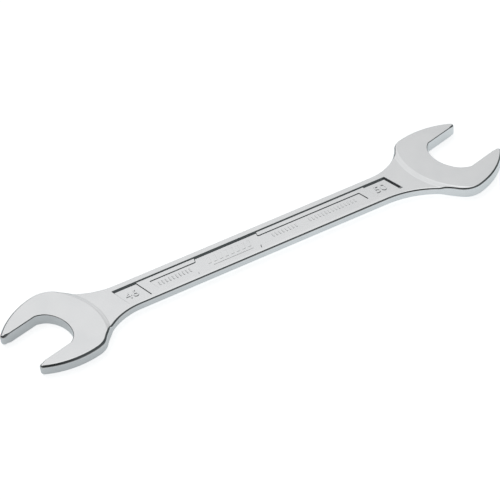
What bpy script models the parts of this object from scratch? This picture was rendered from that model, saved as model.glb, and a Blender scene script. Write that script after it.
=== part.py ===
# Double open end wrench, drop forged in one piece of chrome plated steel.
# Its jaws open 46 mm and 50 mm, and both turn 15 degrees from the shank.
# The model lies flat: length along X, thickness along Z, origin under its middle.

import math
from collections import namedtuple

import bmesh
import bpy
from mathutils import Matrix, Vector

MM = 0.001

# Plan of the wrench: both heads turn the same way, so each is the other one turned half round.
JAW_ANGLE = math.radians(15.0)
EDGE_ROUND = 1.8 * MM
ROUND_RESOLUTION = 2
SHARP = math.radians(35.0)
ARC_STEP = math.radians(5.0)
TIP_STEP = math.radians(20.0)

# Thickness: the shank is thinner than the heads, and a ramp leads down to it on both faces.
# The ramp's upper half is the steeper one. Its foot sinks a little into the shank's slab.
HEAD_THICKNESS = 10.5 * MM
SHANK_THICKNESS = 7.4 * MM
RAMP_LENGTH = 3.4 * MM
RAMP_BREAK_SHARE = 0.25
RAMP_SINK = 0.1 * MM

# A throat, in shares of the opening: a wide arc at its bottom and a tighter one in each corner.
THROAT_RADIUS_SHARE = 0.72
CORNER_RADIUS_SHARE = 0.39
CORNER_START = math.radians(25.0)

# Each jaw ends in a round tip, and the flat trims a little off it.
TIP_RADIUS = 3.0 * MM
TIP_TRIM = 0.1 * MM

# The jaws' axes cross the shank's axis this far from its middle, at both ends.
CROSSING = 179.2 * MM

Head = namedtuple("Head", "opening throat half_width neck_width neck_shift near far ramp turn")
Side = namedtuple("Side", "jaw_radius shoulder_radius fillet")
Ramp = namedtuple("Ramp", "behind radius")

# throat: from that crossing to the throat's bottom, along the jaw's axis towards the mouth.
# near is the side that the mouth turns to, far the other one.
# neck_shift: from the line between both crossings to the middle of the shank, towards near.
# A ramp's upper edge is a wide circle about a point of the jaw's axis, this far behind the throat.
LARGE = Head(opening=50.0 * MM, throat=-0.9 * MM, half_width=48.2 * MM,
             neck_width=33.9 * MM, neck_shift=0.65 * MM, turn=0.0,
             ramp=Ramp(behind=25.8 * MM, radius=70.0 * MM),
             near=Side(jaw_radius=71.3 * MM, shoulder_radius=16.7 * MM, fillet=44.4 * MM),
             far=Side(jaw_radius=70.8 * MM, shoulder_radius=19.8 * MM, fillet=75.0 * MM))
SMALL = Head(opening=46.0 * MM, throat=5.6 * MM, half_width=45.2 * MM,
             neck_width=33.0 * MM, neck_shift=-0.65 * MM, turn=math.pi,
             ramp=Ramp(behind=27.0 * MM, radius=68.3 * MM),
             near=Side(jaw_radius=69.7 * MM, shoulder_radius=16.4 * MM, fillet=49.8 * MM),
             far=Side(jaw_radius=69.0 * MM, shoulder_radius=22.6 * MM, fillet=62.2 * MM))

# Relief of each face of the shank: a recess with two raised frames in it.
# The frames lie lower than the rim, and the pockets between and inside them lie lowest.
# Ends are places along the shank's axis. A frame's sizes are those of its flat top.
FRAME_DEPTH = 1.2 * MM
FLOOR_DEPTH = 2.0 * MM
DRAFT = math.radians(36.0)
RECESS_HALF = 10.9 * MM
PANEL_HALF = 5.8 * MM
RECESS_ENDS = (-134.4 * MM, 129.8 * MM)
FRAME_SMALL_ENDS = (-111.4 * MM, -62.5 * MM)
FRAME_LARGE_ENDS = (-2.4 * MM, 108.6 * MM)
FRAME_END_WIDTH = 9.0 * MM
FRAME_SET_IN = 0.05 * MM
OVERLAP = 3.0 * MM
CUT_MARGIN = 1.0 * MM

# The shank's slab reaches into the heads, a hair inside their sides, and ends there bluntly.
SLAB_SET_IN = 0.02 * MM
SLAB_SHOULDER_SHARE = 0.6
SLAB_CORNER = 2.5 * MM
PUCK_STEPS = 120


def polar(centre, radius, angle):
    """The point at an angle on a circle."""
    return centre + radius * Vector((math.cos(angle), math.sin(angle)))


def bearing(vector):
    """The angle of a plan vector from the X axis."""
    return math.atan2(vector.y, vector.x)


def arc(centre, radius, start, end, step=ARC_STEP):
    """Points on an arc, both ends included."""
    count = max(2, math.ceil(abs(end - start) / step))
    return [polar(centre, radius, start + (end - start) * i / count) for i in range(count + 1)]


def on_jaw_axis(head, along):
    """The place on a jaw's axis this far out from its throat's bottom."""
    return polar(Vector((CROSSING, 0.0)), head.throat + along, JAW_ANGLE)


def jaw_side(head, side):
    """A jaw's outer contour in the jaw's own axes, from its widest point round its tip.

    The first axis runs out of the mouth, and side is 1 or -1 along the second.
    """
    shape = head.near if side > 0 else head.far
    jaw_centre = Vector((0.0, head.half_width - shape.jaw_radius))
    inner = shape.jaw_radius - TIP_RADIUS
    tip_height = head.opening / 2 + TIP_RADIUS - TIP_TRIM
    tip = Vector((math.sqrt(inner ** 2 - (tip_height - jaw_centre.y) ** 2), tip_height))
    tip_angle = bearing(tip - jaw_centre)
    points = arc(jaw_centre, shape.jaw_radius, math.pi / 2, tip_angle)
    points += arc(tip, TIP_RADIUS, tip_angle, -math.pi / 2, TIP_STEP)[1:]
    return [Vector((p.x, side * p.y)) for p in points]


def mouth_side(head, side):
    """Half a mouth in the jaw's own axes, from the throat's bottom to the open end of a flat."""
    half_opening = head.opening / 2
    throat = head.opening * THROAT_RADIUS_SHARE
    corner = head.opening * CORNER_RADIUS_SHARE
    throat_centre = Vector((throat, 0.0))
    corner_centre = polar(throat_centre, throat - corner, math.pi - CORNER_START)
    corner_end = math.pi - math.asin((half_opening - corner_centre.y) / corner)
    points = arc(throat_centre, throat, math.pi, math.pi - CORNER_START)
    points += arc(corner_centre, corner, math.pi - CORNER_START, corner_end)[1:]
    points.append(Vector((2 * head.opening, half_opening)))
    return [Vector((p.x, side * p.y)) for p in points]


def neck_side(head, side, share=1.0):
    """The fillet and a share of the shoulder on one side, from the shank to the widest point."""
    shape = head.near if side > 0 else head.far
    across = Vector((-math.sin(JAW_ANGLE), math.cos(JAW_ANGLE)))
    out = side * (head.half_width - shape.shoulder_radius)
    shoulder = on_jaw_axis(head, 0.0) + across * out
    height = head.neck_shift + side * (head.neck_width / 2 + shape.fillet)
    span = math.sqrt((shape.shoulder_radius + shape.fillet) ** 2 - (height - shoulder.y) ** 2)
    fillet = Vector((shoulder.x - span, height))

    joint = bearing(shoulder - fillet)
    widest = bearing(side * across)
    start = joint + math.pi if side < 0 else joint - math.pi
    sweep = (widest - start + math.pi) % (2 * math.pi) - math.pi
    points = arc(fillet, shape.fillet, -side * math.pi / 2, joint)
    points += arc(shoulder, shape.shoulder_radius, start, start + share * sweep)[1:]
    return points


def placed(head, points):
    """Points in a jaw's own axes, brought to their place on the wrench with X to the large head."""
    turn = Matrix.Rotation(JAW_ANGLE, 2)
    return [on_jaw_axis(head, 0.0) + turn @ p for p in points]


def head_outline(head):
    """A head's outer contour, from one side of the shank to the other, without its mouth."""
    sides = [neck_side(head, side) + placed(head, jaw_side(head, side))[1:] for side in (-1, 1)]
    return turned(head, sides[0] + sides[1][::-1])


def mouth_outline(head):
    """The plan of what the broach takes out of a head."""
    lower, upper = (placed(head, mouth_side(head, side)) for side in (-1, 1))
    return turned(head, lower[::-1] + upper[1:])


def neck_outline(head):
    """The part of a head's outline that the shank's slab shares, with its corners cut off."""
    near, far = (shape._replace(fillet=shape.fillet + SLAB_SET_IN,
                                shoulder_radius=shape.shoulder_radius - SLAB_SET_IN)
                 for shape in (head.near, head.far))
    slim = head._replace(neck_width=head.neck_width - 2 * SLAB_SET_IN,
                         half_width=head.half_width - SLAB_SET_IN, near=near, far=far)
    across = Vector((-math.sin(JAW_ANGLE), math.cos(JAW_ANGLE)))
    sides = []
    for side in (-1, 1):
        points = neck_side(slim, side, SLAB_SHOULDER_SHARE)
        forward = (points[-1] - points[-2]).normalized()
        points.append(points[-1] + SLAB_CORNER * (forward - side * across))
        sides.append(points)
    return turned(head, sides[0] + sides[1][::-1])


def turned(head, points):
    """Points of a plan, turned half round for the head at the other end."""
    half_turn = Matrix.Rotation(head.turn, 2)
    return [half_turn @ p for p in points]


def link(obj, collection):
    """Put an object in a collection and nowhere else."""
    for other in obj.users_collection:
        other.objects.unlink(obj)
    collection.objects.link(obj)
    return obj


def evaluated_mesh(obj):
    """The mesh of an object with its modifiers applied."""
    graph = bpy.context.evaluated_depsgraph_get()
    return bpy.data.meshes.new_from_object(obj.evaluated_get(graph), depsgraph=graph)


def slab(name, points, thickness, rounding, collection):
    """A flat slab with the given plan and rounded edges, halfway above and below the plan."""
    curve = bpy.data.curves.new(name + "_outline", "CURVE")
    curve.dimensions = "2D"
    curve.fill_mode = "BOTH"
    curve.extrude = thickness / 2 - rounding
    curve.bevel_depth = rounding
    curve.bevel_resolution = ROUND_RESOLUTION
    curve.offset = -rounding
    spline = curve.splines.new("POLY")
    spline.points.add(len(points) - 1)
    for point, place in zip(spline.points, points):
        point.co = (place.x, place.y, 0.0, 1.0)
    spline.use_cyclic_u = True
    outline = link(bpy.data.objects.new(name + "_outline", curve), collection)

    mesh = evaluated_mesh(outline)
    weld(mesh)
    solid = link(bpy.data.objects.new(name, mesh), collection)
    solid.matrix_world = outline.matrix_world
    bpy.data.objects.remove(outline)
    return solid


def weld(mesh):
    """Join a curve's loose caps to its sides."""
    bm = bmesh.new()
    bm.from_mesh(mesh)
    bmesh.ops.remove_doubles(bm, verts=bm.verts, dist=MM / 1000)
    bm.to_mesh(mesh)
    bm.free()


def as_cutter(obj):
    """Mark an object as a cutter, which is no part of the wrench."""
    obj.hide_render = True
    obj.display_type = "WIRE"
    return obj


def cut(obj, cutter, operation="DIFFERENCE"):
    """Add one Boolean to an object."""
    boolean = obj.modifiers.new(cutter.name, "BOOLEAN")
    boolean.operation = operation
    boolean.solver = "EXACT"
    boolean.object = cutter


def mirror_over_plan(obj):
    """Repeat a cutter on the wrench's other face."""
    mirror = obj.modifiers.new("both_faces", "MIRROR")
    mirror.use_axis = (False, False, True)
    mirror.merge_threshold = MM / 1000


def ramp_profile(radius):
    """The ramp in section, from above a head's face down into the slab's rounded edge.

    radius is where the ramp leaves the head's face.
    """
    face = SHANK_THICKNESS / 2
    drop = HEAD_THICKNESS / 2 - face
    half = RAMP_LENGTH / 2
    steep = half / (drop * (1.0 - RAMP_BREAK_SHARE))
    gentle = half / (drop * RAMP_BREAK_SHARE)
    foot = radius + RAMP_LENGTH + gentle * RAMP_SINK
    return [(radius - steep * CUT_MARGIN, HEAD_THICKNESS / 2 + CUT_MARGIN),
            (radius + half, face + drop * RAMP_BREAK_SHARE),
            (foot, face - RAMP_SINK),
            (foot + steep * (EDGE_ROUND - RAMP_SINK), face - EDGE_ROUND)]


def puck(head, collection):
    """A disc whose sloping sides make the ramps behind the head."""
    ramp = head.ramp
    centre = Vector((ramp.radius - ramp.behind, 0.0))
    place = turned(head, placed(head, [centre]))[0]
    upper = ramp_profile(ramp.radius)
    profile = [(0.0, upper[0][1])] + upper
    profile += [(x, -z) for x, z in reversed(profile)]

    bm = bmesh.new()
    verts = [bm.verts.new((x, 0.0, z)) for x, z in profile]
    for pair in zip(verts, verts[1:]):
        bm.edges.new(pair)
    mesh = bpy.data.meshes.new("puck")
    bm.to_mesh(mesh)
    bm.free()
    disc = link(bpy.data.objects.new("puck", mesh), collection)
    disc.location = (place.x, place.y, 0.0)
    screw = disc.modifiers.new("turned", "SCREW")
    screw.steps = PUCK_STEPS
    screw.render_steps = PUCK_STEPS
    screw.use_merge_vertices = True
    screw.merge_threshold = MM / 1000
    return as_cutter(disc)


def forged_head(head, name, collection):
    """A head at its full thickness, with its ramp behind it and its mouth broached out."""
    blank = slab(name, head_outline(head), HEAD_THICKNESS, EDGE_ROUND, collection)
    cut(blank, puck(head, collection), "INTERSECT")
    mouth = slab(name + "_mouth", mouth_outline(head), HEAD_THICKNESS + CUT_MARGIN, 0.0, collection)
    cut(blank, as_cutter(mouth))
    return as_cutter(blank)


def pocket(name, ends, leans, half, depth, collection):
    """A pocket in the shank's face, with drafted walls and slanted ends.

    ends are its places on the shank's axis at the face, and leans are the ends' angles.
    """
    face = SHANK_THICKNESS / 2
    bpy.ops.mesh.primitive_cube_add(size=1.0)
    box = link(bpy.context.object, collection)
    box.name = name
    for vertex in box.data.vertices:
        right = vertex.co.x > 0.0
        far = 1.0 if vertex.co.y > 0.0 else -1.0
        level = CUT_MARGIN if vertex.co.z > 0.0 else -depth
        swell = level * math.tan(DRAFT)
        y = far * (half + swell)
        end = ends[1] if right else ends[0]
        lean = leans[1] if right else leans[0]
        outward = 1.0 if right else -1.0
        vertex.co = (end + outward * swell - y * math.tan(lean), y, face + level)
    mirror_over_plan(box)
    return as_cutter(box)


def relief_cutters(collection):
    """The shallow cut over each frame, then the deeper pockets round and inside the frames."""
    lean = JAW_ANGLE
    widen = FRAME_DEPTH * math.tan(DRAFT)
    small = (FRAME_SMALL_ENDS[0] + widen, FRAME_SMALL_ENDS[1] - widen)
    large = (FRAME_LARGE_ENDS[0] + widen, FRAME_LARGE_ENDS[1] - widen)
    small_panel = FRAME_SMALL_ENDS[0] + FRAME_END_WIDTH - widen
    large_panel = FRAME_LARGE_ENDS[1] - FRAME_END_WIDTH + widen
    frame_half = RECESS_HALF - FRAME_SET_IN
    panel_half = PANEL_HALF + widen
    plan = (
        ("small_frame", (small[0] - OVERLAP, small[1] + OVERLAP), (lean, -lean),
         frame_half, FRAME_DEPTH),
        ("large_frame", (large[0] - OVERLAP, large[1] + OVERLAP), (-lean, lean),
         frame_half, FRAME_DEPTH),
        ("small_end_pocket", (RECESS_ENDS[0], small[0]), (lean, lean), RECESS_HALF, FLOOR_DEPTH),
        ("middle_pocket", (small[1], large[0]), (-lean, -lean), RECESS_HALF, FLOOR_DEPTH),
        ("large_end_pocket", (large[1], RECESS_ENDS[1]), (lean, lean), RECESS_HALF, FLOOR_DEPTH),
        ("small_panel", (small_panel, small[1] + OVERLAP), (lean, -lean), panel_half,
         FLOOR_DEPTH),
        ("large_panel", (large[0] - OVERLAP, large_panel), (-lean, lean), panel_half,
         FLOOR_DEPTH),
    )
    return [pocket(*row, collection) for row in plan]


def chrome_material():
    """Satin chrome over forged steel."""
    material = bpy.data.materials.new("satin_chrome")
    material.use_nodes = True
    shader = material.node_tree.nodes["Principled BSDF"]
    shader.inputs["Base Color"].default_value = (0.72, 0.73, 0.74, 1.0)
    shader.inputs["Metallic"].default_value = 1.0
    shader.inputs["Roughness"].default_value = 0.3
    return material


def wrench_body(collection, cutters):
    """The whole wrench: the shank's slab joined with both heads, then the relief of its faces."""
    plan = neck_outline(LARGE) + neck_outline(SMALL)
    body = slab("wrench_body", plan, SHANK_THICKNESS, EDGE_ROUND, collection)
    for head, name in ((LARGE, "large_head"), (SMALL, "small_head")):
        cut(body, forged_head(head, name, cutters), "UNION")
    for cutter in relief_cutters(cutters):
        cut(body, cutter)
    return body


def centre_on_origin(body, cutters):
    """Set the wrench down on the plane z = 0, with the middle of its box over the origin."""
    bpy.context.view_layer.update()
    corners = [Vector(corner) for corner in body.bound_box]
    low = Vector([min(c[i] for c in corners) for i in range(3)])
    high = Vector([max(c[i] for c in corners) for i in range(3)])
    shift = Vector((-(low.x + high.x) / 2, -(low.y + high.y) / 2, -low.z))
    for obj in [body] + list(cutters.objects):
        obj.location = obj.location + shift


def main():
    for obj in list(bpy.data.objects):
        bpy.data.objects.remove(obj)
    collection = bpy.data.collections.new("open_end_wrench")
    cutters = bpy.data.collections.new("cutters")
    for group in (collection, cutters):
        bpy.context.scene.collection.children.link(group)

    body = wrench_body(collection, cutters)
    body.data.materials.append(chrome_material())
    body.data.shade_smooth()
    body.data.set_sharp_from_angle(angle=SHARP)
    centre_on_origin(body, cutters)


main()
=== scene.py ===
# Looks of the double open end wrench: satin chrome on one forging, on a plain white floor.
# Plan lengths are in millimetres, in the frame of the plan: X along the shank towards the large
# head, Z from the middle of the thickness. PLAN_ORIGIN brings them to the part's own frame.

import math
from collections import namedtuple
from functools import partial

import bpy
import numpy as np
from mathutils import Matrix, Vector
from mathutils.geometry import delaunay_2d_cdt


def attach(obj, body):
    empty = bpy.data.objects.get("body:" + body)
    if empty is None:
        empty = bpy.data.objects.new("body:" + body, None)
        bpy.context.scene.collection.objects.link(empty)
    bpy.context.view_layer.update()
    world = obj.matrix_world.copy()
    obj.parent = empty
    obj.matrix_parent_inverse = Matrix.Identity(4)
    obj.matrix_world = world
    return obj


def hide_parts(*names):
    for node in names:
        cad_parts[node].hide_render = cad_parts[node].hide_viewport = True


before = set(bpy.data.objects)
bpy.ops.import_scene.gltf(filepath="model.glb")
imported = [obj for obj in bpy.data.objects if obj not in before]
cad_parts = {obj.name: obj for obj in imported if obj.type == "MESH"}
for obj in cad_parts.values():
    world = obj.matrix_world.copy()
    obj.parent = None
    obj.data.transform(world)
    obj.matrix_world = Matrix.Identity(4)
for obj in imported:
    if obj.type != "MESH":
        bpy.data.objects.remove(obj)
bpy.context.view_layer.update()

MM = 0.001
PLAN_ORIGIN = Vector((2.0066, -0.6382, 5.25))

# The plan and the levels, with the values of the part's source, but for the ramps' profile.
JAW_ANGLE = math.radians(15.0)
HEAD_HALF = 5.25
SHANK_HALF = 3.7
CROSSING = 179.2
THROAT_RADIUS_SHARE = 0.72
CORNER_RADIUS_SHARE = 0.39
CORNER_START = math.radians(25.0)
TIP_RADIUS = 3.0
RAMP_LENGTH = 3.2
RAMP_BLEND = 1.4

# throat: from the crossing of the jaw's axis and the shank's to the throat's bottom.
# near is the side that the mouth turns to, far the other one.
# neck_shift: from the line between both crossings to the middle of the shank, towards near.
# rounding: radius of the head's outer edges.
# A ramp's upper edge is a wide circle about a point of the jaw's axis, this far behind the throat.
Head = namedtuple("Head", "opening throat half_width neck_width neck_shift near far ramp turn "
                          "rounding")
Side = namedtuple("Side", "jaw_radius shoulder_radius fillet")
Ramp = namedtuple("Ramp", "behind radius")
LARGE = Head(opening=50.0, throat=-0.9, half_width=48.2, neck_width=33.9, neck_shift=0.65,
             turn=0.0, rounding=2.0, near=Side(71.3, 16.7, 44.4), far=Side(70.8, 19.8, 75.0),
             ramp=Ramp(25.8, 70.0))
SMALL = Head(opening=46.0, throat=5.6, half_width=45.2, neck_width=33.0, neck_shift=-0.65,
             turn=math.pi, rounding=2.6, near=Side(69.7, 16.4, 49.8), far=Side(69.0, 22.6, 62.2),
             ramp=Ramp(27.0, 68.3))

# Edges: those of the heads are rounded most, and those of the broached mouths least. Their
# profile is a superellipse. Its power is 2, a quarter circle, and less at the small head, where
# the edge is flatter in its middle.
SHANK_ROUND = 1.9
SHANK_BLEND = 30.0
MOUTH_ROUND = 1.0
MOUTH_BLEND = 4.0
EDGE_POWERS = (1.6, 2.0)
EDGE_BLEND = (-160.0, -120.0)
ROUND_ROWS = 7

# Fineness of the contour, and the cut that turns the corner between a jaw's flat and the throat.
CONTOUR_STEP = 0.7
SHANK_STEP = 4 * CONTOUR_STEP
ANGLE_STEP = math.radians(5.0)
KINK_CUT = 0.35
KINK_STEPS = 4

# Relief of the shank's faces: a recess with two raised frames in it, each round a sunk panel.
FRAME_DEPTH = 1.15
FLOOR_DEPTH = 1.9
DRAFT = math.tan(math.radians(38.0))
RECESS_HALF = 10.9
RECESS_ENDS = (-133.6, 131.0)
RECESS_CORNER = 0.6
PANEL_HALF = 5.8
FRAME_SMALL_ENDS = (-111.4, -62.5)
FRAME_LARGE_ENDS = (-2.4, 108.6)
FRAME_END_WIDTHS = (9.0, 7.6)
FRAME_CORNER = 0.9
FRAME_OVERHANG = 2.0
RELIEF_HALF_LENGTH = 145.0
RELIEF_HALF_WIDTH = 13.5
FILLET = 0.12
FILLET_STEPS = 4
CORNER_STEPS = 6
SHARP_RADIUS = 0.05

# The rims beside the recess are slightly crowned.
CROWN = 0.15
CROWN_FROM = 11.3
CROWN_WIDTH = 3.8
CROWN_FADE = (100.0, 128.0)

# Mesh of the upper surface. It has lines along each bend, and more at a guard's distance beside
# a bend, where the surface is flat again.
GUARD = 0.15
FRAME_CREASE = 0.03
RAMP_TOP_ROWS = 7
RAMP_FOOT_ROWS = 8
RAMP_SPACING = 1.2
RELIEF_SPACING = 2.5
EDGE_CLEARANCE = 0.35
FRAME_LINES_HALF = RECESS_HALF + 0.4
SLOPE_STEP = 0.02
MERGE_DISTANCE = 1e-5

# Marks, raised from the pockets' floor: the size numbers, and plain bars beside them. A number is
# given with the place of its middle. The built-in font's digits have this share of its size.
NUMBERS = (("46", -123.0, 0.0), ("50", 118.2, 1.0))
NUMBER_HEIGHT = 8.6
NUMBER_RISE = 0.5
DIGIT_SHARE = 0.73
Bars = namedtuple("Bars", "ends y height width pitch lean rise")
BARS = (Bars((-98.0, -68.0), -0.5, 5.0, 1.3, 3.2, 0.0, 0.22),
        Bars((-50.0, -12.0), 1.6, 7.6, 3.2, 5.4, 0.2, 0.13),
        Bars((10.0, 34.0), -0.3, 4.6, 1.3, 3.2, 0.0, 0.22),
        Bars((46.0, 92.0), -0.3, 4.6, 1.3, 3.2, 0.0, 0.22),
        Bars((-49.0, -11.0), -5.4, 0.7, 38.0, 40.0, 0.0, 0.12))
MARK_EDGE = 0.25
MARK_ROOT = 0.3


def polar(centre, radius, angle):
    """The point at a distance and an angle from a centre."""
    return Vector((centre[0] + radius * math.cos(angle), centre[1] + radius * math.sin(angle)))


def bearing(vector):
    """The angle of a vector from the X axis."""
    return math.atan2(vector.y, vector.x)


def arc(centre, radius, start, end):
    """Points on an arc, both ends included, at a spacing fit for a smooth outline."""
    step = min(ANGLE_STEP, CONTOUR_STEP / radius)
    count = max(3, math.ceil(abs(end - start) / step))
    return [polar(centre, radius, start + (end - start) * i / count) for i in range(count + 1)]


def line(start, end):
    """Points on a line, both ends included."""
    count = max(1, math.ceil((end - start).length / CONTOUR_STEP))
    return [start.lerp(end, i / count) for i in range(count + 1)]


def kink(before, corner, after):
    """A corner of the contour, turned in a few steps."""
    start = corner + (before - corner).normalized() * KINK_CUT
    end = corner + (after - corner).normalized() * KINK_CUT
    points = []
    for i in range(KINK_STEPS + 1):
        t = i / KINK_STEPS
        points.append(start * (1 - t) ** 2 + corner * 2 * t * (1 - t) + end * t * t)
    return points


def jaw_axis(head, along):
    """The place on a jaw's axis this far out from its throat's bottom."""
    return polar((CROSSING, 0.0), head.throat + along, JAW_ANGLE)


def side_of_head(head, side):
    """Half a head's contour, from the shank round the tip to the throat's bottom.

    side is 1 for near and -1 for far. Gives points and the radius of the edge's rounding at
    each, before the head is turned.
    """
    shape = head.near if side > 0 else head.far
    across = Vector((-math.sin(JAW_ANGLE), math.cos(JAW_ANGLE)))
    shoulder = jaw_axis(head, 0.0) + across * side * (head.half_width - shape.shoulder_radius)
    fillet_y = head.neck_shift + side * (head.neck_width / 2 + shape.fillet)
    span = math.sqrt((shape.shoulder_radius + shape.fillet) ** 2 - (fillet_y - shoulder.y) ** 2)
    fillet = Vector((shoulder.x - span, fillet_y))
    joint = bearing(shoulder - fillet)
    start = joint + math.pi if side < 0 else joint - math.pi
    sweep = (bearing(side * across) - start + math.pi) % (2 * math.pi) - math.pi
    neck = arc(fillet, shape.fillet, -side * math.pi / 2, joint)
    neck += arc(shoulder, shape.shoulder_radius, start, start + sweep)[1:]

    half = head.opening / 2
    jaw_centre = Vector((0.0, head.half_width - shape.jaw_radius))
    inner = shape.jaw_radius - TIP_RADIUS
    tip_y = half + TIP_RADIUS
    tip = Vector((math.sqrt(inner ** 2 - (tip_y - jaw_centre.y) ** 2), tip_y))
    tip_angle = bearing(tip - jaw_centre)
    jaw = arc(jaw_centre, shape.jaw_radius, math.pi / 2, tip_angle)[1:]
    jaw += arc(tip, TIP_RADIUS, tip_angle, -math.pi / 2)[1:]

    throat = head.opening * THROAT_RADIUS_SHARE
    corner = head.opening * CORNER_RADIUS_SHARE
    throat_centre = Vector((throat, 0.0))
    corner_centre = polar(throat_centre, throat - corner, math.pi - CORNER_START)
    corner_end = math.pi - math.asin((half - corner_centre.y) / corner)
    bottom = arc(corner_centre, corner, corner_end, math.pi - CORNER_START)
    bottom += arc(throat_centre, throat, math.pi - CORNER_START, math.pi)[1:]
    flat = line(jaw[-1], bottom[0])

    at_corner = kink(flat[-2], bottom[0], bottom[1])
    own = jaw + flat[1:-1] + at_corner + bottom[1:]
    radii = edge_radii(head, neck + own, len(neck), len(neck) + len(jaw))
    turn = Matrix.Rotation(JAW_ANGLE, 2)
    own = [jaw_axis(head, 0.0) + turn @ Vector((p.x, side * p.y)) for p in own]
    return neck + own, radii


def contour():
    """The closed plan of the wrench, anticlockwise, and the rounding's radius at each point."""
    points, rounds = [], []
    for head in (LARGE, SMALL):
        half_turn = Matrix.Rotation(head.turn, 2)
        for side in (-1, 1):
            half, radii = side_of_head(head, side)
            if side > 0:
                half, radii = half[-2::-1], radii[-2::-1]
            points += [half_turn @ p for p in half]
            rounds += radii
    return with_shank(np.array([tuple(p) for p in points]), np.array(rounds))


def edge_radii(head, points, jaw_from, mouth_from):
    """The rounding of the edge at each point, from the shank to the throat."""
    radii = [head.rounding] * len(points)
    blend_radii(points, radii, range(jaw_from - 1, -1, -1), SHANK_ROUND, SHANK_BLEND)
    blend_radii(points, radii, range(mouth_from, len(points)), MOUTH_ROUND, MOUTH_BLEND)
    return radii


def blend_radii(points, radii, order, last, length):
    """Bring the radii to a last value over a length along the contour."""
    way = 0.0
    first = radii[order[0]]
    before = points[order[0]]
    for i in order:
        way += (points[i] - before).length
        before = points[i]
        t = min(1.0, way / length)
        radii[i] = first + (last - first) * t * t * (3 - 2 * t)


def with_shank(points, rounds):
    """The contour with points along the shank's long sides."""
    filled, radii = [], []
    count = len(points)
    for i in range(count):
        a, b = points[i], points[(i + 1) % count]
        steps = max(1, math.ceil(np.linalg.norm(b - a) / SHANK_STEP))
        for k in range(steps):
            filled.append(a + (b - a) * k / steps)
            radii.append(rounds[i])
    return np.array(filled), np.array(radii)


def outward(points):
    """Unit normals of an anticlockwise closed contour."""
    before = points - np.roll(points, 1, axis=0)
    after = np.roll(points, -1, axis=0) - points
    a = np.linalg.norm(before, axis=1)[:, None]
    b = np.linalg.norm(after, axis=1)[:, None]
    tangent = before / a * b + after / b * a
    tangent /= np.linalg.norm(tangent, axis=1)[:, None]
    return np.stack([tangent[:, 1], -tangent[:, 0]], axis=1)


def ramp_circle(head):
    """Centre and radius of the upper edge of the ramp behind a head."""
    ramp = head.ramp
    centre = jaw_axis(head, ramp.radius - ramp.behind)
    return np.array(tuple(Matrix.Rotation(head.turn, 2) @ centre)), ramp.radius


def ramp_fall(t):
    """The ramp's share of its fall, this far beyond its upper edge.

    It is steepest just behind that edge and flat at its foot.
    """
    steepest = 2.0 / (RAMP_LENGTH + RAMP_BLEND)
    rest = RAMP_LENGTH - RAMP_BLEND
    top = steepest * (t + RAMP_BLEND) ** 2 / (4 * RAMP_BLEND)
    foot = 1.0 - steepest * (RAMP_LENGTH - t) ** 2 / (2 * rest)
    value = np.where(t < RAMP_BLEND, top, foot)
    return np.where(t < -RAMP_BLEND, 0.0, np.where(t > RAMP_LENGTH, 1.0, value))


def wall_profile(depth):
    """Distances into a pocket and depths below its face, over its fillets and drafted wall."""
    width = depth * DRAFT
    slope = math.atan2(depth, width)
    tangent = FILLET * math.tan(slope / 2)
    rows = []
    for i in range(FILLET_STEPS + 1):
        a = slope * i / FILLET_STEPS
        rows.append((-tangent + FILLET * math.sin(a), FILLET * (1 - math.cos(a))))
    for i in range(FILLET_STEPS + 1):
        a = slope * (1 - i / FILLET_STEPS)
        rows.append((width + tangent - FILLET * math.sin(a), depth - FILLET * (1 - math.cos(a))))
    return np.array([(rows[0][0] - GUARD, 0.0)] + rows + [(rows[-1][0] + GUARD, depth)])


def signed_distance(points, polygon):
    """Distance of points from a closed polygon, above zero inside it."""
    a = polygon
    b = np.roll(polygon, -1, axis=0)
    edge = b - a
    length2 = (edge ** 2).sum(axis=1)
    best = np.full(len(points), np.inf)
    inside = np.zeros(len(points), dtype=bool)
    for k in range(len(a)):
        rel = points - a[k]
        t = np.clip((rel @ edge[k]) / length2[k], 0.0, 1.0)
        gap = rel - t[:, None] * edge[k]
        best = np.minimum(best, np.hypot(gap[:, 0], gap[:, 1]))
        crosses = (a[k, 1] > points[:, 1]) != (b[k, 1] > points[:, 1])
        if edge[k, 1] != 0.0:
            x = a[k, 0] + (points[:, 1] - a[k, 1]) * edge[k, 0] / edge[k, 1]
            inside ^= crosses & (points[:, 0] < x)
    return np.where(inside, best, -best)


def rounded(corners, radii, offset=0.0):
    """A polygon with rounded corners, moved outward by an offset."""
    points = []
    count = len(corners)
    for i in range(count):
        p = Vector(corners[i])
        before = (Vector(corners[i - 1]) - p).normalized()
        after = (Vector(corners[(i + 1) % count]) - p).normalized()
        turn = before.x * after.y - before.y * after.x
        convex = turn < 0.0
        half = math.acos(max(-1.0, min(1.0, before.dot(after)))) / 2
        middle = (before + after).normalized()
        radius = radii[i] + (offset if convex else -offset)
        mitre = -offset / math.sin(half) * (1.0 if convex else -1.0)
        p = p + middle * mitre
        if radius < SHARP_RADIUS:
            points.append(tuple(p))
            continue
        centre = p + middle * radius / math.sin(half)
        a0 = bearing(p + before * radius / math.tan(half) - centre)
        a1 = bearing(p + after * radius / math.tan(half) - centre)
        sweep = (a1 - a0 + math.pi) % (2 * math.pi) - math.pi
        points += [tuple(polar(centre, radius, a0 + sweep * k / CORNER_STEPS))
                   for k in range(CORNER_STEPS + 1)]
    return np.array(points)


def slant(end, lean, y):
    """A place on a slanted line across the shank that crosses its axis at an end."""
    return (end - y * math.tan(lean), y)


def recess_outline(offset=0.0):
    """The recess's outline at the shank's face, moved outward by an offset."""
    lean = JAW_ANGLE
    low, high = -RECESS_HALF, RECESS_HALF
    corners = [slant(RECESS_ENDS[0], lean, low), slant(RECESS_ENDS[1], lean, low),
               slant(RECESS_ENDS[1], lean, high), slant(RECESS_ENDS[0], lean, high)]
    return rounded(corners, [RECESS_CORNER] * 4, offset)


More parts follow.
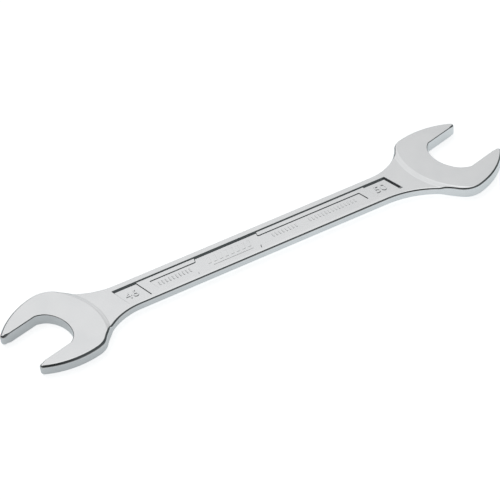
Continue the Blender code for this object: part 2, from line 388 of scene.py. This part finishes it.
def frame_outline(ends, width, flip, offset):
    """A raised frame, open towards the middle of the shank and closed at its outer end.

    width is that of its outer end, and flip is 1 or -1 for an outer end at the left or right.
    """
    outer, inner = ends
    lean_out, lean_in = JAW_ANGLE, -JAW_ANGLE
    panel = outer + flip * width
    over = RECESS_HALF + FRAME_OVERHANG
    corners = [slant(outer, lean_out, -over), slant(inner, lean_in, -over),
               slant(inner, lean_in, -PANEL_HALF), slant(panel, lean_out, -PANEL_HALF),
               slant(panel, lean_out, PANEL_HALF), slant(inner, lean_in, PANEL_HALF),
               slant(inner, lean_in, over), slant(outer, lean_out, over)]
    radii = [0.0] * 2 + [FRAME_CORNER] * 4 + [0.0] * 2
    if flip < 0:
        corners, radii = corners[::-1], radii[::-1]
    return rounded(corners, radii, offset)


def small_frame(offset=0.0):
    """The outline of the frame towards the small head."""
    return frame_outline(FRAME_SMALL_ENDS, FRAME_END_WIDTHS[0], 1, offset)


def large_frame(offset=0.0):
    """The outline of the frame towards the large head."""
    return frame_outline(FRAME_LARGE_ENDS[::-1], FRAME_END_WIDTHS[1], -1, offset)


RECESS_WALL = wall_profile(FLOOR_DEPTH)
FRAME_WALL = wall_profile(FLOOR_DEPTH - FRAME_DEPTH)


def relief(points):
    """Depth of the shank's recess below its face, at points of the plan."""
    into = signed_distance(points, recess_outline())
    wall = np.interp(into, RECESS_WALL[:, 0], RECESS_WALL[:, 1])
    rise = np.zeros(len(points))
    high = FLOOR_DEPTH - FRAME_DEPTH
    for outline in (small_frame(), large_frame()):
        out = -signed_distance(points, outline)
        rise = np.maximum(rise, high - np.interp(out, FRAME_WALL[:, 0], FRAME_WALL[:, 1]))
    return np.minimum(wall, FLOOR_DEPTH - rise)


def crown(points):
    """How far the rims beside the recess fall towards the sides of the shank."""
    across = np.clip((abs(points[:, 1]) - CROWN_FROM) / CROWN_WIDTH, 0.0, 1.0)
    start, end = CROWN_FADE
    fade = np.clip((end - abs(points[:, 0])) / (end - start), 0.0, 1.0)
    return CROWN * across ** 2 * fade


def height(points):
    """Height of the upper surface above the middle plane, without the rounding of its edges."""
    z = np.full(len(points), SHANK_HALF)
    for head in (LARGE, SMALL):
        centre, radius = ramp_circle(head)
        t = np.hypot(*(points - centre).T) - radius
        z += (HEAD_HALF - SHANK_HALF) * (1.0 - ramp_fall(t))
    z -= crown(points)
    near = abs(points[:, 0]) < RELIEF_HALF_LENGTH
    near &= abs(points[:, 1]) < RELIEF_HALF_WIDTH
    if near.any():
        z[near] -= relief(points[near])
    return z


def surface_normals(points):
    """Normals of the upper surface."""
    step = SLOPE_STEP
    dx = (height(points + (step, 0.0)) - height(points - (step, 0.0))) / (2 * step)
    dy = (height(points + (0.0, step)) - height(points - (0.0, step))) / (2 * step)
    normals = np.stack([-dx, -dy, np.ones(len(points))], axis=1)
    return normals / np.linalg.norm(normals, axis=1)[:, None]


def spaced(outline, step):
    """A closed polyline with points at most a step apart."""
    points = []
    for a, b in zip(outline, np.roll(outline, -1, axis=0)):
        count = max(1, math.ceil(np.linalg.norm(b - a) / step))
        points += [a + (b - a) * k / count for k in range(count)]
    return np.array(points)


def feature_lines(inner):
    """Polylines over the inner field along which the surface bends: ramps and relief."""
    lines = []
    top = np.linspace(-RAMP_BLEND, RAMP_BLEND, RAMP_TOP_ROWS)
    foot = np.linspace(RAMP_BLEND, RAMP_LENGTH, RAMP_FOOT_ROWS)[1:]
    for head in (LARGE, SMALL):
        centre, radius = ramp_circle(head)
        for t in [top[0] - GUARD, *top, *foot, foot[-1] + GUARD]:
            r = radius + t
            count = math.ceil(2 * math.pi * r / RAMP_SPACING)
            angles = np.arange(count) * 2 * math.pi / count
            ring = centre + r * np.stack([np.cos(angles), np.sin(angles)], axis=1)
            keep = signed_distance(ring, inner) > EDGE_CLEARANCE
            keep &= (abs(ring[:, 0]) < CROSSING) & (ring[:, 0] * math.cos(head.turn) > 0.0)
            lines += runs(ring, keep)
    # Where the recess's wall passes the level of the frames, it gets a line on each side.
    frame_foot = FRAME_DEPTH * DRAFT
    walls = [t for t, _ in RECESS_WALL] + [frame_foot - FRAME_CREASE, frame_foot + FRAME_CREASE]
    for t in walls:
        lines.append((spaced(recess_outline(-t), RELIEF_SPACING), True))
    for outline in (small_frame, large_frame):
        for t, _ in FRAME_WALL:
            ring = spaced(outline(t), RELIEF_SPACING)
            lines += runs(ring, abs(ring[:, 1]) < FRAME_LINES_HALF)
    return lines


def runs(ring, keep):
    """The parts of a closed polyline that are kept, each as points and whether it is closed."""
    if keep.all():
        return [(ring, True)]
    start = int(np.argmin(keep))
    ring, keep = np.roll(ring, -start, axis=0), np.roll(keep, -start)
    found, current = [], []
    for point, ok in zip(ring, keep):
        if ok:
            current.append(point)
        elif current:
            found.append(current)
            current = []
    if current:
        found.append(current)
    return [(np.array(run), False) for run in found if len(run) > 1]


def edge_profile(angle, power):
    """Where an edge's profile has this normal: its reach outward and upward, as shares."""
    out, rise = math.cos(angle) ** (1 / (power - 1)), math.sin(angle) ** (1 / (power - 1))
    size = (out ** power + rise ** power) ** (1 / power)
    return out / size, rise / size


def edge_rows(points, normals, radii, inner):
    """Rows of places over the rounded edge, from the upright side to its top, with normals."""
    top = height(inner)
    slope = surface_normals(inner)
    power = np.interp(points[:, 0], EDGE_BLEND, EDGE_POWERS)
    coords, normal_rows = [], []
    for k in range(ROUND_ROWS + 1):
        a = math.pi / 2 * k / ROUND_ROWS
        out, rise = edge_profile(a, power)
        plan = points - normals * (radii * (1 - out))[:, None]
        z = top - radii * (1 - rise)
        coords.append(np.column_stack([plan, z]))
        level = np.column_stack([normals * math.cos(a), np.zeros(len(points))])
        n = level + slope * math.sin(a)
        normal_rows.append(n / np.linalg.norm(n, axis=1)[:, None])
    return coords, normal_rows


def inner_field(inner):
    """Points of the plan inside the rounded edges, triangles, and where each point came from.

    The first origins are the points of inner, and the others those of the features' lines.
    """
    count = len(inner)
    verts = [Vector(p) for p in inner]
    edges = [(i, (i + 1) % count) for i in range(count)]
    for polyline, closed in feature_lines(inner):
        first = len(verts)
        verts += [Vector(p) for p in polyline]
        edges += [(first + i, first + i + 1) for i in range(len(polyline) - 1)]
        if closed:
            edges.append((len(verts) - 1, first))
    found = delaunay_2d_cdt(verts, edges, [], 0, MERGE_DISTANCE, True)
    points, triangles, origins = np.array(found[0]), np.array(found[2]), found[3]
    inside = signed_distance(points[triangles].mean(axis=1), inner) > 0.0
    return points, triangles[inside], origins


def skin_mesh():
    """The whole surface of the wrench, as points and faces with a normal at each point."""
    points, radii = contour()
    normals = outward(points)
    count = len(points)
    inner = points - normals * radii[:, None]
    coords, normal_rows = edge_rows(points, normals, radii, inner)
    field, triangles, origins = inner_field(inner)

    own = {}
    extra = []
    for i, sources in enumerate(origins):
        loop = [s for s in sources if s < count]
        if loop:
            own[i] = ROUND_ROWS * count + loop[0]
        else:
            own[i] = (ROUND_ROWS + 1) * count + len(extra)
            extra.append(tuple(field[i]))
    extra = np.array(extra)
    coords.append(np.column_stack([extra, height(extra)]))
    normal_rows.append(surface_normals(extra))
    coords, normals = np.concatenate(coords), np.concatenate(normal_rows)

    faces = []
    for k in range(ROUND_ROWS):
        for i in range(count):
            j = (i + 1) % count
            faces.append((k * count + i, k * count + j, (k + 1) * count + j, (k + 1) * count + i))
    for face in triangles:
        ids = [own[v] for v in face]
        a, b, c = (coords[v][:2] for v in ids)
        if (b[0] - a[0]) * (c[1] - a[1]) - (b[1] - a[1]) * (c[0] - a[0]) < 0.0:
            ids.reverse()
        faces.append(tuple(ids))
    return both_faces(coords, normals, faces, count)


def both_faces(coords, normals, faces, count):
    """The upper half of the surface, repeated below and joined by the upright sides."""
    total = len(coords)
    flip = np.array((1.0, 1.0, -1.0))
    all_coords = np.concatenate([coords, coords * flip])
    all_normals = np.concatenate([normals, normals * flip])
    lower = [tuple(v + total for v in reversed(face)) for face in faces]
    sides = [(total + i, total + (i + 1) % count, (i + 1) % count, i) for i in range(count)]
    return all_coords, all_normals, faces + lower + sides


def wrench_skin(material):
    """The piece that is the whole wrench, in place of its solid."""
    coords, normals, faces = skin_mesh()
    mesh = bpy.data.meshes.new("wrench_skin")
    placed = (coords + np.array(tuple(PLAN_ORIGIN))) * MM
    mesh.from_pydata([tuple(p) for p in placed], [], faces)
    mesh.validate()
    mesh.shade_smooth()
    mesh.normals_split_custom_set_from_vertices([tuple(n) for n in normals])
    mesh.materials.append(material)
    skin = bpy.data.objects.new("wrench_skin", mesh)
    bpy.context.scene.collection.objects.link(skin)
    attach(skin, "root")
    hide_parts("wrench_body")


def mark_mesh(outlines, rise):
    """Raised marks with sloping sides, from their closed outlines."""
    floor = SHANK_HALF - FLOOR_DEPTH
    levels = ((-MARK_ROOT, 0.0), (0.0, 0.0), (rise, MARK_EDGE))
    verts, faces = [], []
    for outline in outlines:
        count = len(outline)
        first = len(verts)
        for level, inset in levels:
            ring = rounded(outline, [0.0] * count, -inset)
            verts += [(x, y, floor + level) for x, y in ring]
        for k in range(len(levels) - 1):
            a = first + k * count
            faces += [(a + i, a + (i + 1) % count, a + count + (i + 1) % count, a + count + i)
                      for i in range(count)]
        faces.append(tuple(first + (len(levels) - 1) * count + i for i in range(count)))
        faces.append(tuple(first + i for i in reversed(range(count))))
    return verts, faces


def bar_outlines(bars):
    """Slanted or upright bars, anticlockwise, at an even pitch between two ends."""
    count = int((bars.ends[1] - bars.ends[0]) / bars.pitch) + 1
    span = (count - 1) * bars.pitch
    start = (bars.ends[0] + bars.ends[1] - span) / 2
    half, side = bars.height / 2, bars.width / 2
    return [[(start + i * bars.pitch + x + bars.lean * y, bars.y + y)
             for x, y in ((-side, -half), (side, -half), (side, half), (-side, half))]
            for i in range(count)]


def number_mesh(text, x, y):
    """A number of the built-in font, raised from the floor of its pocket."""
    curve = bpy.data.curves.new("number", "FONT")
    curve.body = text
    curve.size = NUMBER_HEIGHT / DIGIT_SHARE
    curve.extrude = MARK_ROOT
    curve.bevel_depth = MARK_EDGE / 2
    curve.bevel_resolution = 1
    curve.offset = -MARK_EDGE / 2
    obj = bpy.data.objects.new("number", curve)
    bpy.context.scene.collection.objects.link(obj)
    graph = bpy.context.evaluated_depsgraph_get()
    mesh = bpy.data.meshes.new_from_object(obj.evaluated_get(graph))
    verts = np.array([tuple(v.co) for v in mesh.vertices])
    faces = [tuple(face.vertices) for face in mesh.polygons]
    bpy.data.objects.remove(obj)
    bpy.data.meshes.remove(mesh)
    low, high = verts.min(axis=0), verts.max(axis=0)
    verts[:, :2] += (x, y) - (low + high)[:2] / 2
    verts[:, 2] += SHANK_HALF - FLOOR_DEPTH + NUMBER_RISE - high[2]
    return [tuple(v) for v in verts], faces


def mark_piece(name, parts, material):
    """One piece of marks, repeated on the lower face by a half turn round the shank."""
    verts, faces = [], []
    for own_verts, own_faces in parts:
        for flip in (1.0, -1.0):
            first = len(verts)
            verts += [(x, flip * y, flip * z) for x, y, z in own_verts]
            faces += [tuple(first + i for i in face) for face in own_faces]
    mesh = bpy.data.meshes.new(name)
    mesh.from_pydata([tuple((Vector(v) + PLAN_ORIGIN) * MM) for v in verts], [], faces)
    mesh.validate()
    mesh.materials.append(material)
    piece = bpy.data.objects.new(name, mesh)
    bpy.context.scene.collection.objects.link(piece)
    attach(piece, "root")


def marks(material):
    """The two pieces of marks: size numbers and plain bars."""
    mark_piece("size_numbers", [number_mesh(*number) for number in NUMBERS], material)
    mark_piece("plain_bars", [mark_mesh(bar_outlines(bars), bars.rise) for bars in BARS], material)


# Materials. The chrome's tint changes faintly over centimetres. Its grain is very fine, and
# changes both roughness and bump. Noise is used over its middle range.
CHROME_TINTS = ((0.735, 0.745, 0.755, 1.0), (0.765, 0.773, 0.78, 1.0))
CHROME_ROUGHNESS = (0.15, 0.21)
TINT_NOISE = {"Scale": 60.0, "Detail": 3.0}
GRAIN_NOISE = {"Scale": 2500.0, "Detail": 2.0}
GRAIN_BUMP = {"Strength": 0.08, "Distance": 0.00005}
NOISE_RANGE = (0.3, 0.7)
WHITE = (1.0, 1.0, 1.0, 1.0)

# Sockets of a Mix node for both kinds of data: its two values and its result.
MIX_SOCKETS = {"FLOAT": (2, 3, 0), "RGBA": (6, 7, 2)}


def node(tree, kind, **inputs):
    """A node with values set on its sockets."""
    made = tree.nodes.new(kind)
    for name, value in inputs.items():
        made.inputs[name].default_value = value
    return made


def plug(tree, value, socket):
    """Feed an input from a socket or a plain value."""
    if hasattr(value, "is_output"):
        tree.links.new(value, socket)
    else:
        socket.default_value = value


def calc(tree, operation, *values):
    """A Math node on sockets or plain numbers."""
    made = tree.nodes.new("ShaderNodeMath")
    made.operation = operation
    for socket, value in zip(made.inputs, values):
        plug(tree, value, socket)
    return made.outputs[0]


def dot(tree, vector, direction):
    """How far a vector reaches in a direction."""
    made = tree.nodes.new("ShaderNodeVectorMath")
    made.operation = "DOT_PRODUCT"
    plug(tree, vector, made.inputs[0])
    plug(tree, direction, made.inputs[1])
    return made.outputs["Value"]


def ranged(tree, value, ends, to=(0.0, 1.0), kind="LINEAR"):
    """A value brought from one range to another, and held at its ends."""
    made = tree.nodes.new("ShaderNodeMapRange")
    made.interpolation_type = kind
    plug(tree, value, made.inputs["Value"])
    for name, number in zip(("From Min", "From Max", "To Min", "To Max"), (*ends, *to)):
        made.inputs[name].default_value = number
    return made.outputs["Result"]


def mix(tree, kind, share, first, second):
    """Two values mixed: the first one at a share of 0, the second one at 1."""
    made = tree.nodes.new("ShaderNodeMix")
    made.data_type = kind
    first_socket, second_socket, result = MIX_SOCKETS[kind]
    plug(tree, share, made.inputs[0])
    plug(tree, first, made.inputs[first_socket])
    plug(tree, second, made.inputs[second_socket])
    return made.outputs[result]


def satin_chrome():
    """Satin chrome: bright, faintly cool, with a very fine grain."""
    material = bpy.data.materials.new("satin_chrome_skin")
    material.use_nodes = True
    tree = material.node_tree
    shader = tree.nodes["Principled BSDF"]
    shader.inputs["Metallic"].default_value = 1.0
    place = tree.nodes.new("ShaderNodeTexCoord")

    broad = node(tree, "ShaderNodeTexNoise", **TINT_NOISE)
    tree.links.new(place.outputs["Object"], broad.inputs["Vector"])
    tint = tree.nodes.new("ShaderNodeValToRGB")
    for stop, position, colour in zip(tint.color_ramp.elements, NOISE_RANGE, CHROME_TINTS):
        stop.position = position
        stop.color = colour
    tree.links.new(broad.outputs["Fac"], tint.inputs["Fac"])
    tree.links.new(tint.outputs["Color"], shader.inputs["Base Color"])

    fine = node(tree, "ShaderNodeTexNoise", **GRAIN_NOISE)
    tree.links.new(place.outputs["Object"], fine.inputs["Vector"])
    rough = ranged(tree, fine.outputs["Fac"], NOISE_RANGE, CHROME_ROUGHNESS)
    tree.links.new(rough, shader.inputs["Roughness"])
    bump = node(tree, "ShaderNodeBump", **GRAIN_BUMP)
    tree.links.new(fine.outputs["Fac"], bump.inputs["Height"])
    tree.links.new(bump.outputs["Normal"], shader.inputs["Normal"])
    return material


# Camera: its direction, distance and roll come from the jaws, the sizes and the angles that
# the photograph shows. The fit gives logarithms: of the distance, and of the focal length in
# pixels over that distance. CLIP_START is in metres.
CAMERA_ELEVATION = math.radians(40.4252)
CAMERA_AZIMUTH = math.radians(24.6208)
CAMERA_ROLL = math.radians(-6.44687)
CAMERA_DISTANCE = math.exp(7.385373)
FOCAL_PIXELS = CAMERA_DISTANCE * math.exp(0.168441)
CENTRE_PIXELS = (12.0028, -8.94174)
IMAGE_PIXELS = 500.0
SENSOR = 36.0
CLIP_START = 0.05


def camera_rows():
    """The camera's right, down and forward directions in the part's frame."""
    a, e, r = CAMERA_AZIMUTH, CAMERA_ELEVATION, CAMERA_ROLL
    right = Vector((math.cos(a), -math.sin(a), 0.0))
    forward = Vector((math.cos(e) * math.sin(a), math.cos(e) * math.cos(a), -math.sin(e)))
    down = forward.cross(right)
    rolled = right * math.cos(r) - down * math.sin(r)
    rolled_down = right * math.sin(r) + down * math.cos(r)
    return rolled, rolled_down, forward


def add_camera():
    """The camera, placed so that the origin of the plan shows where it does in the photograph."""
    right, down, forward = camera_rows()
    shift = Vector((CENTRE_PIXELS[0] / FOCAL_PIXELS * CAMERA_DISTANCE,
                    CENTRE_PIXELS[1] / FOCAL_PIXELS * CAMERA_DISTANCE, CAMERA_DISTANCE))
    place = -(right * shift.x + down * shift.y + forward * shift.z)
    data = bpy.data.cameras.new("camera")
    data.sensor_width = SENSOR
    data.lens = FOCAL_PIXELS / IMAGE_PIXELS * SENSOR
    data.clip_start = CLIP_START
    camera = bpy.data.objects.new("camera", data)
    turn = Matrix((right, -down, -forward)).transposed().to_4x4()
    camera.matrix_world = Matrix.Translation((place + PLAN_ORIGIN) * MM) @ turn
    bpy.context.scene.collection.objects.link(camera)
    bpy.context.scene.camera = camera


# Studio. A direction is given by its parts to the far side, to the right and up, as seen in the
# photograph. An EDGE is the range over which a light sets in: of one of these parts, or of the
# cosine of the angle from the light's own direction.
#
# What is lit: a soft box overhead and a white backdrop behind.
BOX_AXIS = (0.38, -0.33, 0.86)
BOX_EDGE = (0.74, 0.84)
BACKDROP_TURN = math.radians(7.0)
BACKDROP_EDGE = (0.87, 0.95)
# Its brightness rises upward and falls to the right, between a lower and an upper level.
LEVEL_BASE = -0.08
LEVEL_UP = 1.64
LEVEL_RIGHT = -1.3
# The lower level rises towards the horizon, below HORIZON_UP.
LEVEL_LOW = 0.76
HORIZON_UP = 0.45
HORIZON_RISE = 0.35
# The upper level rises on the right, above HIGH_FROM, to LEVEL_TOP at most.
LEVEL_HIGH = 0.94
HIGH_FROM = 0.69
HIGH_RISE = 2.4
HIGH_EDGE = (-0.12, 0.1)
LEVEL_TOP = 1.14
# The room in front is lit near the horizon, and so is all that lies below.
LEVEL_FRONT = 0.55
LOW_EDGE = (0.20, 0.36)
FRONT_EDGE = (-0.2, 0.2)
LEVEL_BELOW = 0.5
BELOW_EDGE = (-0.06, -0.01)
# Elsewhere the room is dark, from left to right at these two levels. It is faintly green blue,
# and light stronger than that turns white.
ROOM_LEVELS = (0.03, 0.09)
ROOM_EDGE = (0.0, 0.55)
ROOM_COLOUR = (0.89, 1.0, 1.02, 1.0)
ROOM_TO_LIT = (0.1, 0.5)

# Floor: half its side in metres, and how far it lies below the wrench in millimetres. The camera
# sees it white. Mirrored rays see a painted sheen, a glow that is no lamp and that the chrome's
# sides show as painted reflection; it changes along X, between two places in metres.
FLOOR_HALF = 6.0
FLOOR_DROP = 0.02
FLOOR_COLOUR = (0.56, 0.585, 0.6, 1.0)
FLOOR_GLOW = 0.83
SHEEN_COLOUR = (0.93, 0.985, 1.0, 1.0)
SHEEN_RUN = (-0.2, 0.0)
SHEEN_LEVELS = (0.4, 0.62)


def lit_level(tree, right, up):
    """Brightness of the box and the backdrop, by direction."""
    do = partial(calc, tree)
    level = do("ADD", do("MULTIPLY", up, LEVEL_UP), LEVEL_BASE)
    level = do("ADD", level, do("MULTIPLY", right, LEVEL_RIGHT))
    under = do("MAXIMUM", do("SUBTRACT", HORIZON_UP, up), 0.0)
    low = do("ADD", do("MULTIPLY", under, HORIZON_RISE), LEVEL_LOW)
    over = do("MAXIMUM", do("SUBTRACT", up, HIGH_FROM), 0.0)
    over = do("MULTIPLY", over, ranged(tree, right, HIGH_EDGE, kind="SMOOTHSTEP"))
    high = do("MINIMUM", do("ADD", do("MULTIPLY", over, HIGH_RISE), LEVEL_HIGH), LEVEL_TOP)
    return do("MAXIMUM", do("MINIMUM", level, high), low)


def studio_light(tree):
    """Brightness of the whole studio, by direction."""
    do = partial(calc, tree)
    smooth = partial(ranged, tree, kind="SMOOTHSTEP")
    place = tree.nodes.new("ShaderNodeTexCoord").outputs["Generated"]
    behind = Vector((math.sin(CAMERA_AZIMUTH), math.cos(CAMERA_AZIMUTH), 0.0))
    aside = Vector((math.cos(CAMERA_AZIMUTH), -math.sin(CAMERA_AZIMUTH), 0.0))
    far = dot(tree, place, behind)
    right = dot(tree, place, aside)
    up = dot(tree, place, (0.0, 0.0, 1.0))

    axis = behind * BOX_AXIS[0] + aside * BOX_AXIS[1] + Vector((0.0, 0.0, BOX_AXIS[2]))
    box = smooth(dot(tree, place, axis.normalized()), BOX_EDGE)
    flat = do("SQRT", do("ADD", do("MULTIPLY", far, far), do("MULTIPLY", right, right)))
    ahead = behind * math.cos(BACKDROP_TURN) + aside * math.sin(BACKDROP_TURN)
    backdrop = smooth(do("DIVIDE", dot(tree, place, ahead), flat), BACKDROP_EDGE)
    light = do("MULTIPLY", lit_level(tree, right, up), do("MAXIMUM", box, backdrop))

    light = do("MAXIMUM", light, smooth(right, ROOM_EDGE, ROOM_LEVELS))
    low = do("SUBTRACT", 1.0, smooth(up, LOW_EDGE))
    front = do("SUBTRACT", 1.0, smooth(far, FRONT_EDGE))
    light = do("MAXIMUM", light, do("MULTIPLY", do("MULTIPLY", low, front), LEVEL_FRONT))
    below = do("SUBTRACT", 1.0, smooth(up, BELOW_EDGE))
    return do("MAXIMUM", light, do("MULTIPLY", below, LEVEL_BELOW))


def studio_world():
    """A studio: a soft box overhead, a white backdrop behind, and a dark room elsewhere.

    The camera sees plain white in its place.
    """
    world = bpy.data.worlds.new("studio")
    world.use_nodes = True
    bpy.context.scene.world = world
    tree = world.node_tree
    back = tree.nodes["Background"]
    light = studio_light(tree)
    paths = tree.nodes.new("ShaderNodeLightPath")
    strength = mix(tree, "FLOAT", paths.outputs["Is Camera Ray"], light, 1.0)
    tree.links.new(strength, back.inputs["Strength"])
    share = ranged(tree, strength, ROOM_TO_LIT, kind="SMOOTHSTEP")
    tree.links.new(mix(tree, "RGBA", share, ROOM_COLOUR, WHITE), back.inputs["Color"])


def add_floor():
    """A plain white floor, which keeps the wrench's soft shadow, and glows with a painted sheen in
    a mirror.
    """
    size, low = FLOOR_HALF, -FLOOR_DROP * MM
    corners = [(-size, -size, low), (size, -size, low), (size, size, low), (-size, size, low)]
    mesh = bpy.data.meshes.new("floor")
    mesh.from_pydata(corners, [], [(0, 1, 2, 3)])
    material = bpy.data.materials.new("white_floor")
    material.use_nodes = True
    tree = material.node_tree
    tree.nodes.remove(tree.nodes["Principled BSDF"])
    diffuse = node(tree, "ShaderNodeBsdfDiffuse", Color=FLOOR_COLOUR)
    paths = tree.nodes.new("ShaderNodeLightPath")
    glow = node(tree, "ShaderNodeEmission", Color=WHITE)
    strength = calc(tree, "MULTIPLY", paths.outputs["Is Camera Ray"], FLOOR_GLOW)
    tree.links.new(strength, glow.inputs["Strength"])

    # Painted sheen: the floor glows for glossy and transmission rays only, brighter along X, so
    # the chrome shows a painted reflection.
    sheen = node(tree, "ShaderNodeEmission", Color=SHEEN_COLOUR)
    mirrored = calc(tree, "ADD", paths.outputs["Is Glossy Ray"],
                    paths.outputs["Is Transmission Ray"])
    place = tree.nodes.new("ShaderNodeTexCoord")
    along = tree.nodes.new("ShaderNodeSeparateXYZ")
    tree.links.new(place.outputs["Object"], along.inputs[0])
    rise = ranged(tree, along.outputs["X"], SHEEN_RUN, SHEEN_LEVELS)
    tree.links.new(calc(tree, "MULTIPLY", mirrored, rise), sheen.inputs["Strength"])

    total = diffuse.outputs[0]
    for light in (glow, sheen):
        both = tree.nodes.new("ShaderNodeAddShader")
        tree.links.new(total, both.inputs[0])
        tree.links.new(light.outputs[0], both.inputs[1])
        total = both.outputs[0]
    tree.links.new(total, tree.nodes["Material Output"].inputs["Surface"])
    mesh.materials.append(material)
    floor = bpy.data.objects.new("floor", mesh)
    bpy.context.scene.collection.objects.link(floor)


bpy.context.scene.view_settings.view_transform = "Standard"
add_camera()
studio_world()
add_floor()
chrome = satin_chrome()
wrench_skin(chrome)
marks(chrome)
